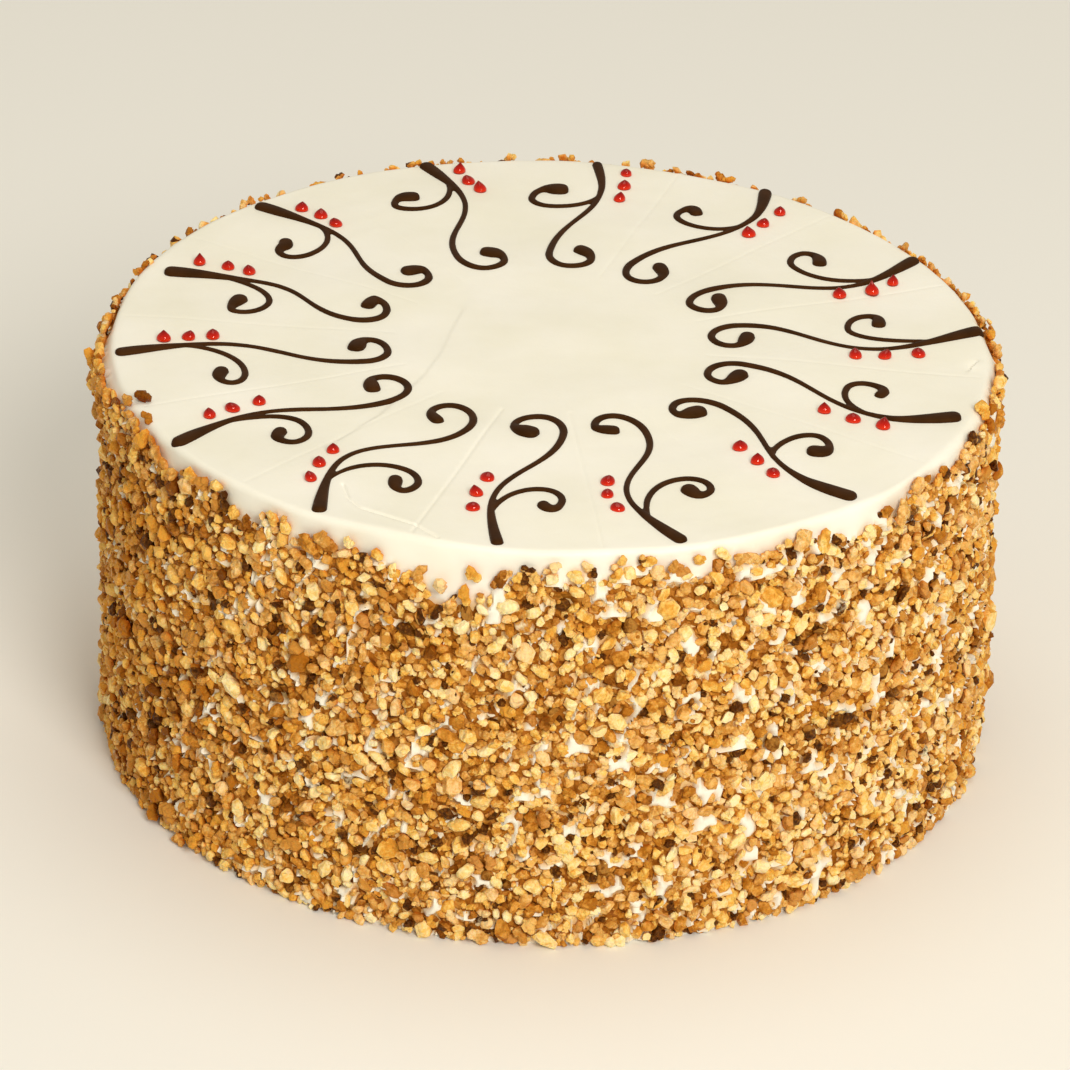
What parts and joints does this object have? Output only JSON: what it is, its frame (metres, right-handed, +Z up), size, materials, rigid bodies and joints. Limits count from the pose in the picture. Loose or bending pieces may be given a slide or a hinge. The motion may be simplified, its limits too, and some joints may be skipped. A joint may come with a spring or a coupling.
{
  "type": "hazelnut torte",
  "caption": "Tall round iced layer cake, its side coated with chopped hazelnuts, its top piped with chocolate scrolls and drops of red gel.",
  "frame": {"origin": "middle of the cake's flat base, under the centre of its round top", "axes": "+Z up; -Y is the side nearest the picture's camera, +X to its right"},
  "size_m": [0.2479, 0.249, 0.1223],
  "materials": {
    "iced_cake": "crumbly chopped nuts on satin icing",
    "piped_chocolate": "satin chocolate"
  },
  "bodies": {
    "root": {"cake": "iced_cake", "scroll_01": "piped_chocolate", "scroll_02": "piped_chocolate", "scroll_03": "piped_chocolate", "scroll_04": "piped_chocolate", "scroll_05": "piped_chocolate", "scroll_06": "piped_chocolate", "scroll_07": "piped_chocolate", "scroll_08": "piped_chocolate", "scroll_09": "piped_chocolate", "scroll_10": "piped_chocolate", "scroll_11": "piped_chocolate", "scroll_12": "piped_chocolate", "scroll_13": "piped_chocolate", "scroll_14": "piped_chocolate"}
  },
  "joints": []
}
